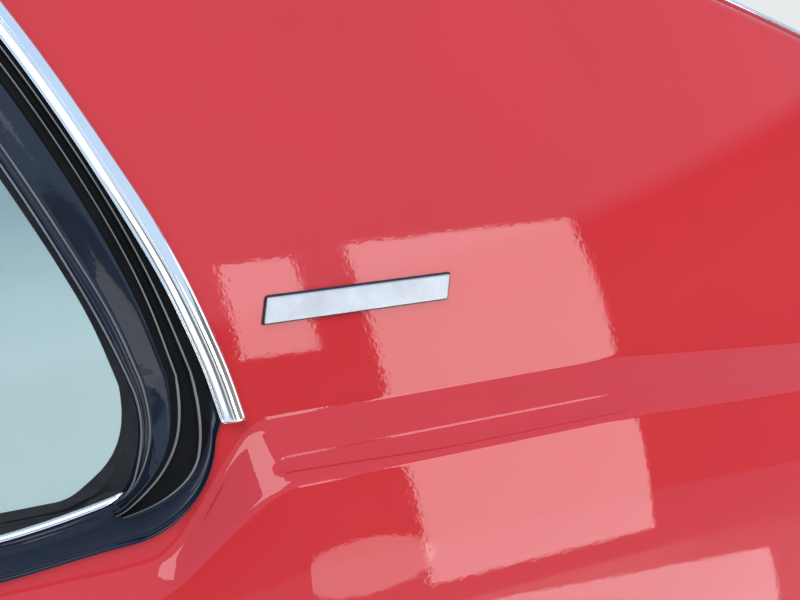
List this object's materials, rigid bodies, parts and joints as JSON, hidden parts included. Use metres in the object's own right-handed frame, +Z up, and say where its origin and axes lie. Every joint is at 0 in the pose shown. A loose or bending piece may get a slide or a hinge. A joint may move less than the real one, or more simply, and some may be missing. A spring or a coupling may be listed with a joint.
{
  "type": "rear quarter panel of a three-door car",
  "caption": "Left rear body quarter with sail, haunch and wheel arch, fixed side window with black frame and bright moulding, inner panels and hinged fuel filler flap.",
  "frame": {"origin": "middle of the inboard face of the sill flange at the lower front corner", "axes": "+X towards the tail, +Y inboard, +Z up"},
  "size_m": [1.4, 0.274, 1.115],
  "materials": {
    "black_enamel": "black enamel, semi-gloss",
    "body_paint": "red gloss paint under clear coat",
    "body_paint_inner": "red paint, satin, thin on the inner sheets",
    "bright_plate": "polished plate, dark edge",
    "bright_strip": "polished bright metal",
    "cap_plastic": "black moulded plastic",
    "seal_rubber": "black rubber, slightly dull",
    "underseal": "black textured underseal",
    "window_glass": "lightly tinted flat-drawn glass",
    "zinc_steel": "zinc plated"
  },
  "bodies": {
    "body_side": {"badge_blank": "bright_plate", "belt_anchor": "zinc_steel", "belt_rail": "body_paint_inner", "drip_moulding": "bright_strip", "fuel_cap": "cap_plastic", "fuel_hinge": "zinc_steel", "fuel_hinge_pin": "zinc_steel", "fuel_neck": "zinc_steel", "fuel_pocket": "body_paint_inner", "glass_gasket": "seal_rubber", "hatch_gutter": "body_paint_inner", "hatch_seal": "seal_rubber", "inner_quarter_panel": "body_paint_inner", "lock_pillar": "body_paint_inner", "lower_bead": "bright_strip", "quarter_glass": "window_glass", "quarter_panel": "body_paint", "roof_side_rail": "body_paint_inner", "sail_inner": "body_paint_inner", "sill_end": "body_paint", "wheelhouse_outer": "underseal", "window_frame": "black_enamel", "window_surround": "black_enamel"},
    "fuel_flap": {"fuel_flap": "body_paint"}
  },
  "joints": [
    {"name": "fuel_flap_hinge", "type": "hinge", "parent": "body_side", "child": "fuel_flap", "pos_m": [1.038, -0.1289, 0.517], "axis": [0, 0, -1], "range_deg": [0, 85]}
  ]
}
